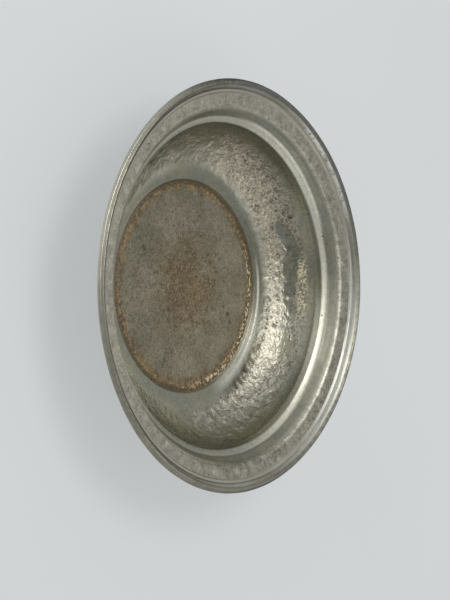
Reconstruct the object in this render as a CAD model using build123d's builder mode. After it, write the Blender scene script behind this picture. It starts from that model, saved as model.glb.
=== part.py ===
"""Hammered pewter dish (paten plate): a raised sheet shell with an applied rim moulding.

The dish lies open side up. +Z is its symmetry axis and the origin is the centre of the base's
underside. Every section is drawn in the XZ plane, as (radius, height), and turned about Z.
"""
from build123d import *
import os
from math import asin, atan2, cos, degrees, hypot, radians, sin, sqrt, tan

# ---- overall ----
outer_radius = 90.0          # outermost corner of the rim moulding
overall_height = 34.7        # crest of the rim above the base
sheet = 1.2                  # pewter sheet of the shell

# From here the widths run inwards from the outermost corner, and each one starts where the last
# one ends. What is left over in the middle is the flat floor. Drops are below the rim's crest.

# ---- rim moulding ----
rim_width = 5.2              # from the outermost corner in to the moulding's foot on the brim
crest_inset = 1.8            # crest, in from the outermost corner
crest_blend = 0.7
lip_drop = 1.9               # outermost corner
lip_blend = 0.4
edge_inset = 2.6             # cut edge of the sheet, in from the outermost corner
reed_groove_radius = 0.28    # groove between the two reeds of the outer face

# ---- brim ----
brim_width = 7.0
brim_inner_drop = 4.8
brim_slope = 13.0            # degrees, rising outwards
brim_corner_blend = 1.0      # radius of the brim's inner corner

# ---- step and bead between brim and bowl ----
step_width = 0.6
step_fall = 2.1
cove_width = 2.6
cove_fall = 2.3
bead_width = 2.9
bead_fall = 1.6
bead_height = 0.55           # how far the bead stands above the line between its two feet
neck_width = 0.9             # from the bead in to the mouth of the bowl
neck_fall = 2.1
shoulder_extra = 0.4         # the sheet is this much thicker behind the bead

# ---- bowl wall ----
bowl_width = 19.6            # from the mouth in to the ledge
bowl_start_slope = 17.0      # degrees from level, at the ledge

# ---- ledge and recessed floor ----
ledge_width = 3.3
ledge_rise = 0.5             # how much the ledge climbs outwards
recess_step_width = 0.9      # the sloping step down to the floor
recess_depth = 1.0
step_blend = 0.35            # small radii where a step meets its neighbours

# ---- solder ----
solder_width = 1.0           # width of the bead along the brim, and up the moulding
solder_ridge = 0.32          # how far its ridge stands out
seam_width = 0.5             # V-seam under the brim, at the cut edge

# ---- lining of the floor ----
adhesive_thickness = 0.2
adhesive_lip = 0.8           # width squeezed out round the disc
adhesive_gap = 0.5           # left free inside the recess's step
disc_thickness = 0.4
disc_edge_blend = 0.12

os.makedirs("parts", exist_ok=True)


def distance(start, end):
    """Straight distance between two points of a section."""
    return hypot(end[0] - start[0], end[1] - start[1])


def slope_between(start, end):
    """Slope of the line from start to end, in degrees from level."""
    return degrees(atan2(end[1] - start[1], end[0] - start[0]))


def direction(slope):
    """Unit vector that climbs outwards at a slope."""
    return (cos(radians(slope)), sin(radians(slope)))


def middle(start, end):
    """The point halfway between two points."""
    return ((start[0] + end[0]) / 2, (start[1] + end[1]) / 2)


def along(point, slope, length):
    """The point reached from a point by going a length at a slope."""
    return (point[0] + length * direction(slope)[0], point[1] + length * direction(slope)[1])


def under(point, slope, thickness):
    """The point square below a face of the given slope, one thickness down."""
    return (point[0] + thickness * sin(radians(slope)), point[1] - thickness * cos(radians(slope)))


def crossing(point_a, slope_a, point_b, slope_b):
    """Where two lines meet, each given by a point and its slope."""
    rise_a, rise_b = tan(radians(slope_a)), tan(radians(slope_b))
    radius = (point_b[1] - point_a[1] + rise_a * point_a[0] - rise_b * point_b[0]) / (rise_a - rise_b)
    return (radius, point_a[1] + rise_a * (radius - point_a[0]))


def upper_crossing(centre, circle_radius, point, slope):
    """The higher of the two points where a line meets a circle."""
    run, rise = direction(slope)
    off_r, off_z = point[0] - centre[0], point[1] - centre[1]
    nearest = off_r * run + off_z * rise
    half_chord = sqrt(nearest**2 - (off_r**2 + off_z**2) + circle_radius**2)
    return (point[0] + (half_chord - nearest) * run, point[1] + (half_chord - nearest) * rise)


def brim_point(radius):
    """The brim's upper face at a radius."""
    return (radius, brim_inner[1] + (radius - brim_inner[0]) * tan(radians(brim_slope)))


# ---- upper face of the shell, from the rim inwards ----
moulding_foot_radius = outer_radius - rim_width
brim_inner = (moulding_foot_radius - brim_width, overall_height - brim_inner_drop)
step_foot = (brim_inner[0] - step_width, brim_inner[1] - step_fall)
bead_outer = (step_foot[0] - cove_width, step_foot[1] - cove_fall)
bead_inner = (bead_outer[0] - bead_width, bead_outer[1] - bead_fall)
bowl_mouth = (bead_inner[0] - neck_width, bead_inner[1] - neck_fall)
ledge_inner = (bowl_mouth[0] - bowl_width - ledge_width, sheet + recess_depth)
ledge_outer = (ledge_inner[0] + ledge_width, ledge_inner[1] + ledge_rise)
recess_radius = ledge_inner[0] - recess_step_width
floor_edge = (recess_radius, sheet)
floor_centre = (0.0, sheet)
brim_edge_radius = outer_radius - edge_inset
brim_edge = brim_point(brim_edge_radius)

bead_top = under(middle(bead_inner, bead_outer), slope_between(bead_inner, bead_outer), -bead_height)

# The bowl wall is one arc. Its radius follows from its chord and its slope at the ledge.
half_turn = slope_between(ledge_outer, bowl_mouth) - bowl_start_slope
bowl_radius = distance(ledge_outer, bowl_mouth) / 2 / sin(radians(half_turn))
bowl_centre = under(ledge_outer, bowl_start_slope, -bowl_radius)

# ---- lower face of the shell ----
step_slope = slope_between(floor_edge, ledge_inner)
step_under = under(floor_edge, step_slope, sheet)
base_corner = crossing((0.0, 0.0), 0.0, step_under, step_slope)
ledge_slope = slope_between(ledge_inner, ledge_outer)
ledge_corner = crossing(step_under, step_slope, under(ledge_inner, ledge_slope, sheet), ledge_slope)
bowl_foot_under = under(ledge_outer, bowl_start_slope, sheet)
shoulder_slope = slope_between(bowl_mouth, brim_inner)
shoulder_under = under(brim_inner, shoulder_slope, sheet + shoulder_extra)
shoulder_corner = upper_crossing(bowl_centre, bowl_radius + sheet, shoulder_under, shoulder_slope)
brim_edge_low = (brim_edge_radius, brim_edge[1] - sheet / cos(radians(brim_slope)))
brim_corner = crossing(shoulder_under, shoulder_slope, brim_edge_low, brim_slope)

with BuildPart() as dish_shell:
    with BuildSketch(Plane.XZ):
        with BuildLine():
            FilletPolyline(floor_centre, floor_edge, ledge_inner, ledge_outer, radius=step_blend)
            TangentArc(ledge_outer, bowl_mouth, tangent=direction(bowl_start_slope))
            Line(bowl_mouth, bead_inner)
            ThreePointArc(bead_inner, bead_top, bead_outer)
            FilletPolyline(
                bead_outer,
                step_foot,
                brim_inner,
                brim_edge,
                radius=[step_blend, brim_corner_blend],
            )
            Polyline(brim_edge, brim_edge_low, brim_corner, shoulder_corner)
            TangentArc(bowl_foot_under, shoulder_corner, tangent=direction(bowl_start_slope))
            Polyline(bowl_foot_under, ledge_corner, base_corner, (0.0, 0.0), floor_centre)
        make_face()
    revolve(axis=Axis.Z)
dish_shell.part.label = "dish_shell"

# ---- rim moulding: a drawn ring that caps the brim's cut edge ----
moulding_foot = brim_point(moulding_foot_radius)
crest_centre = (outer_radius - crest_inset, overall_height - crest_blend)
lip_centre = (outer_radius - lip_blend, overall_height - lip_drop)
reed_normal = slope_between(crest_centre, lip_centre) + 90
groove_centre = along(middle(crest_centre, lip_centre), reed_normal, (crest_blend + lip_blend) / 2)
seam_top = (brim_edge_radius, brim_edge_low[1] + seam_width)
lip_turn = degrees(asin(lip_blend / distance(brim_edge_low, lip_centre)))
underside_slope = slope_between(brim_edge_low, lip_centre) - lip_turn
seam_outer = along(brim_edge_low, underside_slope, seam_width)

with BuildPart() as rim_moulding:
    with BuildSketch(Plane.XZ):
        with BuildLine():
            CenterArc(crest_centre, crest_blend, 0, 360)
            CenterArc(lip_centre, lip_blend, 0, 360)
            Line(moulding_foot, brim_edge_low)
        make_hull()
        with BuildLine():
            Polyline(moulding_foot, brim_edge, seam_top, seam_outer, brim_edge_low, close=True)
        make_face(mode=Mode.SUBTRACT)
        with Locations(groove_centre):
            Circle(reed_groove_radius, mode=Mode.SUBTRACT)
    revolve(axis=Axis.Z)
rim_moulding.part.label = "rim_moulding"

# ---- solder: a bead along the moulding's foot and a seam under the cut edge ----
crest_turn = degrees(asin(crest_blend / distance(moulding_foot, crest_centre)))
moulding_slope = slope_between(moulding_foot, crest_centre) + crest_turn
bead_low = brim_point(moulding_foot_radius - solder_width)
bead_high = along(moulding_foot, moulding_slope, solder_width)
bead_ridge = under(middle(bead_low, bead_high), slope_between(bead_low, bead_high), -solder_ridge)

with BuildPart() as rim_solder_bead:
    with BuildSketch(Plane.XZ):
        with BuildLine():
            Polyline(bead_low, moulding_foot, bead_high, bead_ridge, close=True)
        make_face()
    revolve(axis=Axis.Z)
rim_solder_bead.part.label = "rim_solder_bead"

with BuildPart() as rim_solder_seam:
    with BuildSketch(Plane.XZ):
        with BuildLine():
            Polyline(brim_edge_low, seam_outer, seam_top, close=True)
        make_face()
    revolve(axis=Axis.Z)
rim_solder_seam.part.label = "rim_solder_seam"

# ---- lining of the floor: a thin disc in its bed of adhesive ----
bed_radius = recess_radius - adhesive_gap
disc_radius = bed_radius - adhesive_lip
disc_bottom = sheet + adhesive_thickness
disc_top = disc_bottom + disc_thickness

with BuildPart() as centre_disc:
    with BuildSketch(Plane.XY.offset(disc_bottom)):
        Circle(disc_radius)
    extrude(amount=disc_thickness)
    fillet(centre_disc.faces().sort_by(Axis.Z)[-1].edges(), radius=disc_edge_blend)
centre_disc.part.label = "centre_disc"

with BuildPart() as adhesive_bed:
    with BuildSketch(Plane.XZ):
        with BuildLine():
            Polyline((bed_radius, sheet), floor_centre, (0.0, disc_bottom), (disc_radius, disc_bottom))
            Line((disc_radius, disc_bottom), (disc_radius, disc_top))
            TangentArc((disc_radius, disc_top), (bed_radius, sheet), tangent=(1, 0))
        make_face()
    revolve(axis=Axis.Z)
adhesive_bed.part.label = "adhesive_bed"

export_step(dish_shell.part, "parts/dish_shell.step")
export_step(rim_moulding.part, "parts/rim_moulding.step")
export_step(rim_solder_bead.part, "parts/rim_solder_bead.step")
export_step(rim_solder_seam.part, "parts/rim_solder_seam.step")
export_step(centre_disc.part, "parts/centre_disc.step")
export_step(adhesive_bed.part, "parts/adhesive_bed.step")
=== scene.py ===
"""Hammered pewter paten plate: the finished surface of every piece, round its fixed frame.

The dish lies open side up. +Z is its axis and the origin is the centre of its base. Sections are
drawn as (radius, height) in millimetres and turned about Z; meshes are in metres.
"""
import logging
import math
import random
from dataclasses import dataclass, field
from enum import Enum
from typing import Any, Callable, Sequence

import bpy
from mathutils import Matrix, Vector, geometry, kdtree, noise


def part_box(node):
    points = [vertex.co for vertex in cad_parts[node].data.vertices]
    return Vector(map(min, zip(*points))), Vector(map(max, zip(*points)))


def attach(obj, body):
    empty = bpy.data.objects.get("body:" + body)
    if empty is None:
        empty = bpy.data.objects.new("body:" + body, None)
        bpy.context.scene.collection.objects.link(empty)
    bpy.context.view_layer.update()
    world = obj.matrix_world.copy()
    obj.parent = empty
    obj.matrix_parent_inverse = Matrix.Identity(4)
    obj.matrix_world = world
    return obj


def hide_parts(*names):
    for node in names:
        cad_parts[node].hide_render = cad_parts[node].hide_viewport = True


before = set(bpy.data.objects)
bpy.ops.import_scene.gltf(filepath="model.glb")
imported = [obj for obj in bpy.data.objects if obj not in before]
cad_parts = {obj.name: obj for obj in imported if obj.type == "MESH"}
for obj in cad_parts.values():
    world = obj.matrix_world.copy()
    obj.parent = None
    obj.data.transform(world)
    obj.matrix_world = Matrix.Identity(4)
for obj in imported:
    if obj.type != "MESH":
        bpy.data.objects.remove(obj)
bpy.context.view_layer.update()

MM = 0.001
BODY = "root"
Colour = tuple[float, float, float]

log = logging.getLogger("paten_plate")


# ---------------------------------------------------------------------------
# Sections
# ---------------------------------------------------------------------------

def slope_vector(slope: float) -> Vector:
    """Unit vector that climbs outwards at a slope.

    Args:
        slope: Degrees from level.

    Returns:
        The vector as (radius, height).
    """
    angle = math.radians(slope)
    return Vector((math.cos(angle), math.sin(angle)))


def slope_of(start: Vector, end: Vector) -> float:
    """Slope of the line from start to end, in degrees from level."""
    return math.degrees(math.atan2(end.y - start.y, end.x - start.x))


def square_below(point: Vector, slope: float, depth: float) -> Vector:
    """The point square below a face of the given slope, at a depth."""
    return point - depth * slope_vector(slope + 90)


def meeting(point_a: Vector, slope_a: float, point_b: Vector, slope_b: float) -> Vector:
    """Where two lines meet, each given by a point and its slope in degrees."""
    rise_a, rise_b = math.tan(math.radians(slope_a)), math.tan(math.radians(slope_b))
    radius = (point_b.y - point_a.y + rise_a * point_a.x - rise_b * point_b.x) / (rise_a - rise_b)
    return Vector((radius, point_a.y + rise_a * (radius - point_a.x)))


def touch_length(point: Vector, centre: Vector, radius: float) -> float:
    """Length of the tangent from a point to a circle."""
    return math.sqrt((centre - point).length_squared - radius**2)


def touch_turn(point: Vector, centre: Vector, radius: float) -> float:
    """Angle at a point between a circle's centre and its tangent, in degrees."""
    return math.degrees(math.asin(radius / (centre - point).length))


class Outline:
    """The outline of a section, walked from point to point as (radius, height) in millimetres."""

    def __init__(self, start: Vector) -> None:
        """Starts at a point."""
        self.points = [Vector(start)]
        self.marks: dict[str, int] = {}

    def mark(self, name: str) -> None:
        """Names the point that the outline has reached."""
        self.marks[name] = len(self.points) - 1

    def line(self, end: Vector, rings: int = 1) -> None:
        """Goes straight to a point.

        Args:
            end: The point.
            rings: Number of equal steps.
        """
        start = self.points[-1]
        self.points += [start.lerp(end, ring / rings) for ring in range(1, rings + 1)]

    def arc(self, end: Vector, centre: Vector, rings: int) -> None:
        """Goes round a centre to a point, the short way.

        Args:
            end: The point.
            centre: Centre of the arc.
            rings: Number of equal steps.
        """
        first, last = self.points[-1] - centre, end - centre
        turn = math.atan2(first.x * last.y - first.y * last.x, first.dot(last))
        for ring in range(1, rings + 1):
            self.points.append(centre + Matrix.Rotation(turn * ring / rings, 2) @ first)

    def bulge(self, end: Vector, height: float, rings: int) -> None:
        """Goes to a point in a shallow swell to the left of the straight way.

        Args:
            end: The point.
            height: Height of the swell.
            rings: Number of equal steps.
        """
        start = self.points[-1]
        along = (end - start).normalized()
        left = Vector((-along.y, along.x))
        for ring in range(1, rings + 1):
            part = ring / rings
            self.points.append(start.lerp(end, part) + left * height * 4 * part * (1 - part))

    def corner(self, corner: Vector, after: Vector, radius: float, rings: int = 3, before: int = 1) -> None:
        """Goes towards a corner and rounds it, ready to leave for a further point.

        Args:
            corner: The sharp corner.
            after: The point that the outline leaves for.
            radius: Radius of the rounding.
            rings: Number of steps round the corner.
            before: Number of steps before it.
        """
        into = (corner - self.points[-1]).normalized()
        out = (after - corner).normalized()
        side = math.copysign(1, into.x * out.y - into.y * out.x)
        cut = radius * math.tan(into.angle(out) / 2)
        self.line(corner - into * cut, before)
        centre = self.points[-1] + side * radius * Vector((-into.y, into.x))
        self.arc(corner + out * cut, centre, rings)


@dataclass
class PlateSection:
    """The plate's cross-section: widths run inwards from the outermost corner, drops from the crest."""

    outer_radius: float
    height: float
    sheet: float = 1.2
    rim_width: float = 5.2
    crest_inset: float = 1.8
    crest_blend: float = 0.7
    lip_drop: float = 1.9
    lip_blend: float = 0.4
    edge_inset: float = 2.6
    groove_radius: float = 0.28
    brim_width: float = 7.0
    brim_inner_drop: float = 4.8
    brim_slope: float = 13.0
    brim_blend: float = 3.2
    step_width: float = 0.6
    step_fall: float = 2.1
    cove_width: float = 2.6
    cove_fall: float = 2.3
    knee_inset: float = 0.5
    knee_rise: float = 0.15
    knee_blend: float = 0.8
    bead_width: float = 2.9
    bead_fall: float = 1.6
    bead_height: float = 0.18
    neck_width: float = 0.9
    neck_fall: float = 2.1
    shoulder_extra: float = 0.4
    bowl_width: float = 19.6
    bowl_slope: float = 17.0
    ledge_width: float = 3.3
    ledge_rise: float = 0.5
    recess_step: float = 0.9
    recess_depth: float = 1.0
    step_blend: float = 0.35
    solder_width: float = 1.0
    solder_ridge: float = 0.32
    seam_width: float = 0.5
    points: dict[str, Vector] = field(default_factory=dict)

    def __post_init__(self) -> None:
        """Works out the named points of the section."""
        self._upper_face()
        self._lower_face()
        self._rim()

    def __getitem__(self, name: str) -> Vector:
        """The point of that name."""
        return self.points[name]

    def brim_at(self, radius: float) -> Vector:
        """The point of the brim's upper face at a radius."""
        inner = self["brim_inner"]
        return Vector((radius, inner.y + (radius - inner.x) * math.tan(math.radians(self.brim_slope))))

    def _upper_face(self) -> None:
        """Points of the shell's upper face, from the rim inwards."""
        at = self.points
        self.foot_radius = self.outer_radius - self.rim_width
        at["brim_inner"] = Vector((self.foot_radius - self.brim_width, self.height - self.brim_inner_drop))
        at["step_foot"] = at["brim_inner"] - Vector((self.step_width, self.step_fall))
        at["bead_outer"] = at["step_foot"] - Vector((self.cove_width, self.cove_fall))
        at["knee"] = at["step_foot"] + Vector((-self.knee_inset, self.knee_rise))
        at["bead_inner"] = at["bead_outer"] - Vector((self.bead_width, self.bead_fall))
        at["mouth"] = at["bead_inner"] - Vector((self.neck_width, self.neck_fall))
        ledge_radius = at["mouth"].x - self.bowl_width - self.ledge_width
        at["ledge_inner"] = Vector((ledge_radius, self.sheet + self.recess_depth))
        at["ledge_outer"] = at["ledge_inner"] + Vector((self.ledge_width, self.ledge_rise))
        at["floor_edge"] = Vector((ledge_radius - self.recess_step, self.sheet))
        at["floor_centre"] = Vector((0, self.sheet))
        at["brim_edge"] = self.brim_at(self.outer_radius - self.edge_inset)
        chord = at["bead_outer"] - at["bead_inner"]
        self.bead_radius = (chord.length_squared / 4 + self.bead_height**2) / (2 * self.bead_height)
        middle = at["bead_inner"].lerp(at["bead_outer"], 0.5)
        depth = self.bead_radius - self.bead_height
        at["bead_centre"] = square_below(middle, slope_of(at["bead_inner"], at["bead_outer"]), depth)
        half_turn = slope_of(at["ledge_outer"], at["mouth"]) - self.bowl_slope
        half_chord = (at["mouth"] - at["ledge_outer"]).length / 2
        self.bowl_radius = half_chord / math.sin(math.radians(half_turn))
        at["bowl_centre"] = square_below(at["ledge_outer"], self.bowl_slope, -self.bowl_radius)

    def _lower_face(self) -> None:
        """Points of the shell's lower face, from the floor outwards."""
        at = self.points
        step_slope = slope_of(at["floor_edge"], at["ledge_inner"])
        step_under = square_below(at["floor_edge"], step_slope, self.sheet)
        at["base_corner"] = meeting(Vector((0, 0)), 0, step_under, step_slope)
        ledge_slope = slope_of(at["ledge_inner"], at["ledge_outer"])
        ledge_under = square_below(at["ledge_inner"], ledge_slope, self.sheet)
        at["ledge_corner"] = meeting(step_under, step_slope, ledge_under, ledge_slope)
        at["bowl_foot"] = square_below(at["ledge_outer"], self.bowl_slope, self.sheet)
        shoulder_slope = slope_of(at["mouth"], at["brim_inner"])
        shoulder = square_below(at["brim_inner"], shoulder_slope, self.sheet + self.shoulder_extra)
        below = shoulder - self.outer_radius * slope_vector(shoulder_slope)
        above = shoulder + self.outer_radius * slope_vector(shoulder_slope)
        crossings = geometry.intersect_line_sphere_2d(
            below, above, at["bowl_centre"], self.bowl_radius + self.sheet, False)
        at["shoulder_corner"] = max(crossings, key=lambda point: point.y)
        brim_thickness = self.sheet / math.cos(math.radians(self.brim_slope))
        at["edge_low"] = at["brim_edge"] - Vector((0, brim_thickness))
        at["brim_corner"] = meeting(shoulder, shoulder_slope, at["edge_low"], self.brim_slope)

    def _rim(self) -> None:
        """Points of the rim moulding and its solder."""
        at = self.points
        at["foot"] = self.brim_at(self.foot_radius)
        at["crest"] = Vector((self.outer_radius - self.crest_inset, self.height - self.crest_blend))
        at["lip"] = Vector((self.outer_radius - self.lip_blend, self.height - self.lip_drop))
        self.rim_slope = slope_of(at["foot"], at["crest"])
        self.rim_slope += touch_turn(at["foot"], at["crest"], self.crest_blend)
        length = touch_length(at["foot"], at["crest"], self.crest_blend)
        at["crest_start"] = at["foot"] + length * slope_vector(self.rim_slope)
        reeds = at["lip"] - at["crest"]
        tilt = math.degrees(math.asin((self.crest_blend - self.lip_blend) / reeds.length))
        outward = slope_vector(slope_of(at["crest"], at["lip"]) + 90 - tilt)
        at["crest_end"] = at["crest"] + self.crest_blend * outward
        at["lip_start"] = at["lip"] + self.lip_blend * outward
        at["groove"] = at["crest_end"].lerp(at["lip_start"], 0.5)
        under_slope = slope_of(at["edge_low"], at["lip"])
        under_slope -= touch_turn(at["edge_low"], at["lip"], self.lip_blend)
        length = touch_length(at["edge_low"], at["lip"], self.lip_blend)
        at["lip_end"] = at["edge_low"] + length * slope_vector(under_slope)
        at["seam_outer"] = at["edge_low"] + self.seam_width * slope_vector(under_slope)
        at["seam_top"] = at["edge_low"] + Vector((0, self.seam_width))
        at["solder_low"] = self.brim_at(self.foot_radius - self.solder_width)
        at["solder_high"] = at["foot"] + self.solder_width * slope_vector(self.rim_slope)
        middle = at["solder_low"].lerp(at["solder_high"], 0.5)
        slope = slope_of(at["solder_low"], at["solder_high"])
        at["solder_ridge"] = square_below(middle, slope, -self.solder_ridge)


# ---------------------------------------------------------------------------
# Turned meshes and hammer work
# ---------------------------------------------------------------------------

def turned(name: str, outline: Outline, steps: int, sharp_angle: float) -> bpy.types.Object:
    """Extrudes an outline point by point and spins it about Z.

    Args:
        name: Name of the new piece.
        outline: Its section, closed or with both ends on the axis.
        steps: Number of steps round the axis.
        sharp_angle: Edges that turn by more than this many degrees stay sharp.

    Returns:
        The new piece, with its place in its mesh.
    """
    bpy.ops.object.select_all(action="DESELECT")
    start = outline.points[0] * MM
    bpy.ops.mesh.primitive_plane_add(size=MM, location=(start.x, 0, start.y))
    piece = bpy.context.object
    bpy.ops.object.mode_set(mode="EDIT")
    bpy.ops.mesh.select_all(action="SELECT")
    bpy.ops.mesh.merge(type="CENTER")
    for here, there in zip(outline.points, outline.points[1:]):
        step = (there - here) * MM
        bpy.ops.mesh.extrude_region_move(TRANSFORM_OT_translate={"value": (step.x, 0, step.y)})
    bpy.ops.mesh.select_all(action="SELECT")
    bpy.ops.mesh.spin(steps=steps, angle=2 * math.pi, center=(0, 0, 0), axis=(0, 0, 1))
    bpy.ops.mesh.select_all(action="SELECT")
    bpy.ops.mesh.remove_doubles(threshold=0.002 * MM)
    bpy.ops.mesh.normals_make_consistent(inside=False)
    bpy.ops.object.mode_set(mode="OBJECT")
    bpy.ops.object.transform_apply(location=True, rotation=True, scale=True)
    bpy.ops.object.shade_smooth_by_angle(angle=math.radians(sharp_angle))
    piece.name = name
    piece.data.name = name
    return piece


def rings_of(piece: bpy.types.Object, outline: Outline) -> list[int]:
    """Finds which point of its outline every vertex of a turned piece comes from.

    Args:
        piece: The piece, straight after it was turned.
        outline: Its outline.

    Returns:
        The number of the point, for each vertex.
    """
    tree = kdtree.KDTree(len(outline.points))
    for index, point in enumerate(outline.points):
        tree.insert((point.x, point.y, 0), index)
    tree.balance()
    flat = [(math.hypot(vertex.co.x, vertex.co.y), vertex.co.z) for vertex in piece.data.vertices]
    return [tree.find((radius / MM, height / MM, 0))[1] for radius, height in flat]


def places_and_normals(piece: bpy.types.Object) -> list[tuple[Vector, Vector]]:
    """Every vertex's place and normal, as copies that later moves leave alone."""
    return [(vertex.co.copy(), vertex.normal.copy()) for vertex in piece.data.vertices]


def place_all(piece: bpy.types.Object, places: Sequence[Vector]) -> None:
    """Moves every vertex of a piece to its new place."""
    piece.data.vertices.foreach_set("co", [part for place in places for part in place])
    piece.data.update()


def paint(piece: bpy.types.Object, name: str, values: Sequence[float]) -> None:
    """Gives a piece a float attribute, one value for each vertex."""
    piece.data.attributes.new(name, "FLOAT", "POINT").data.foreach_set("value", values)


@dataclass(frozen=True)
class Blow:
    """One hammer mark: its middle, how far it reaches round and across the dish, and its depth."""

    place: Vector
    reach_round: float
    reach_across: float
    depth: float

    def fall(self, point: Vector) -> float:
        """How deep the mark is at a point, in metres, and negative outside it."""
        away = point - self.place
        outward = Vector((self.place.x, self.place.y, 0)).normalized()
        sideways = Vector((-outward.y, outward.x, 0))
        round_part = away.dot(sideways) / self.reach_round
        across_part = (away - away.dot(sideways) * sideways).length / self.reach_across
        return self.depth * (1 - round_part**2 - across_part**2)


@dataclass(frozen=True)
class HammerCourse:
    """Rings of hammer marks along one stretch of the section.

    Attributes:
        pitch: Spacing of the marks along the section, in millimetres.
        pitch_round: Spacing of the marks round the dish.
        reach: Mean reach of a mark across the section.
        reach_round: Mean reach of a mark round the dish.
        depth: Mean depth of a mark.
        scatter: How far a mark strays from its even place.
        seed: Seed of the scatter.
    """

    pitch: float
    pitch_round: float
    reach: float
    reach_round: float
    depth: float
    scatter: float
    seed: int

    def blows(self, stations: Callable[[float], Vector], length: float) -> list[Blow]:
        """Lays the marks out, ring by ring.

        Args:
            stations: Gives the section's point, in millimetres, at a distance along the stretch.
            length: Length of the stretch, in millimetres.

        Returns:
            All the marks.
        """
        draw = random.Random(self.seed)
        made = []
        rows = max(1, round(length / self.pitch))
        for row in range(rows):
            along = (row + 0.5) * length / rows
            count = round(2 * math.pi * stations(along).x / self.pitch_round)
            start = draw.random()
            for number in range(count):
                stray = draw.uniform(-self.scatter, self.scatter)
                point = stations(min(max(along + stray, 0), length))
                turn = (number + start) / count * 2 * math.pi
                turn += draw.uniform(-self.scatter, self.scatter) / point.x
                size = draw.uniform(0.75, 1.25)
                made.append(Blow(
                    place=Vector((point.x * math.cos(turn), point.x * math.sin(turn), point.y)) * MM,
                    reach_round=self.reach_round * size * MM,
                    reach_across=self.reach * size * MM,
                    depth=self.depth * draw.uniform(0.6, 1.3) * size * MM,
                ))
        return made


class HammerWork:
    """Beats hammer marks into a piece, and keeps how deep each one is as an attribute."""

    def __init__(self, blows: Sequence[Blow]) -> None:
        """Sorts the marks by place.

        Args:
            blows: The marks.
        """
        self.blows = list(blows)
        self.reach = max(max(blow.reach_round, blow.reach_across) for blow in self.blows)
        self.tree = kdtree.KDTree(len(self.blows))
        for index, blow in enumerate(self.blows):
            self.tree.insert(blow.place, index)
        self.tree.balance()

    def depth_at(self, point: Vector) -> tuple[float, float]:
        """Depth of the deepest mark at a point.

        Args:
            point: The point, in metres.

        Returns:
            The depth in metres, and how far the deepest mark leads the next one.
        """
        falls = [self.blows[index].fall(point) for _, index, _ in self.tree.find_range(point, self.reach)]
        falls = sorted((fall for fall in falls if fall > 0), reverse=True) + [0.0, 0.0]
        return falls[0], falls[0] - falls[1]


# ---------------------------------------------------------------------------
# Shader writing
# ---------------------------------------------------------------------------

class Term:
    """A shader socket that takes part in sums, so that shader maths reads as Python."""

    def __init__(self, tree: "ShaderTree", socket: bpy.types.NodeSocket) -> None:
        """Wraps a socket of a tree."""
        self.tree = tree
        self.socket = socket

    def _math(self, operation: str, first: "Term | float", second: "Term | float" = 0.0) -> "Term":
        """Adds one Math node."""
        return self.tree.node("ShaderNodeMath", {"operation": operation}, {0: first, 1: second})

    def __add__(self, other: "Term | float") -> "Term":
        """self + other."""
        return self._math("ADD", self, other)

    def __radd__(self, other: float) -> "Term":
        """other + self."""
        return self._math("ADD", other, self)

    def __sub__(self, other: "Term | float") -> "Term":
        """self - other."""
        return self._math("SUBTRACT", self, other)

    def __rsub__(self, other: float) -> "Term":
        """other - self."""
        return self._math("SUBTRACT", other, self)

    def __mul__(self, other: "Term | float") -> "Term":
        """self * other."""
        return self._math("MULTIPLY", self, other)

    def __rmul__(self, other: float) -> "Term":
        """other * self."""
        return self._math("MULTIPLY", other, self)

    def __truediv__(self, other: "Term | float") -> "Term":
        """self / other."""
        return self._math("DIVIDE", self, other)

    def __pow__(self, power: float) -> "Term":
        """self ** power."""
        return self._math("POWER", self, power)

    def above(self, low: float, high: float) -> "Term":
        """0 below low and 1 above high, with a smooth climb between them; low may be the larger."""
        return self.tree.node(
            "ShaderNodeMapRange",
            {"interpolation_type": "SMOOTHSTEP"},
            {"Value": self, "From Min": low, "From Max": high, "To Min": 0.0, "To Max": 1.0},
        )

    def within(self, middle: float, half_width: float, fade: float) -> "Term":
        """1 within half_width of a middle value, falling to 0 over a fade."""
        return self._math("ABSOLUTE", self - middle).above(half_width + fade, half_width)

    def either(self, other: "Term") -> "Term":
        """The larger of two values."""
        return self._math("MAXIMUM", self, other)


class ShaderTree:
    """Writes the nodes of one material or world."""

    def __init__(self, owner: "bpy.types.Material | bpy.types.World") -> None:
        """Empties the owner's node tree.

        Args:
            owner: The material or world.
        """
        owner.use_nodes = True
        self.owner = owner
        self.nodes = owner.node_tree.nodes
        self.links = owner.node_tree.links
        self.nodes.clear()

    def node(
        self,
        kind: str,
        settings: dict[str, Any] | None = None,
        inputs: dict[Any, Any] | None = None,
        output: int = 0,
    ) -> Term:
        """Adds a node.

        Args:
            kind: Its type.
            settings: Its properties, set before its sockets.
            inputs: A value or a term for each socket, by name or number.
            output: Number of the output socket to return.

        Returns:
            The output socket as a term.
        """
        made = self.nodes.new(kind)
        for name, value in (settings or {}).items():
            setattr(made, name, value)
        for key, value in (inputs or {}).items():
            socket = made.inputs[key]
            if isinstance(value, Term):
                self.links.new(value.socket, socket)
            elif isinstance(value, tuple) and len(socket.default_value) == 4:
                socket.default_value = (*value, 1.0)
            else:
                socket.default_value = value
        return Term(self, made.outputs[output]) if made.outputs else Term(self, None)

    def blend(self, factor: Term | float, first: Term | Colour, second: Term | Colour) -> Term:
        """Mixes two colours.

        Args:
            factor: 0 gives the first, 1 the second.
            first: A colour.
            second: Another colour.

        Returns:
            The mixed colour.
        """
        settings = {"data_type": "RGBA", "blend_type": "MIX", "clamp_factor": True}
        return self.node("ShaderNodeMix", settings, {0: factor, 6: first, 7: second}, output=2)

    def shade(self, colour: Term, amount: Term) -> Term:
        """Multiplies a colour by an amount."""
        return self.node("ShaderNodeVectorMath", {"operation": "SCALE"}, {0: colour, "Scale": amount})


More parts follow.
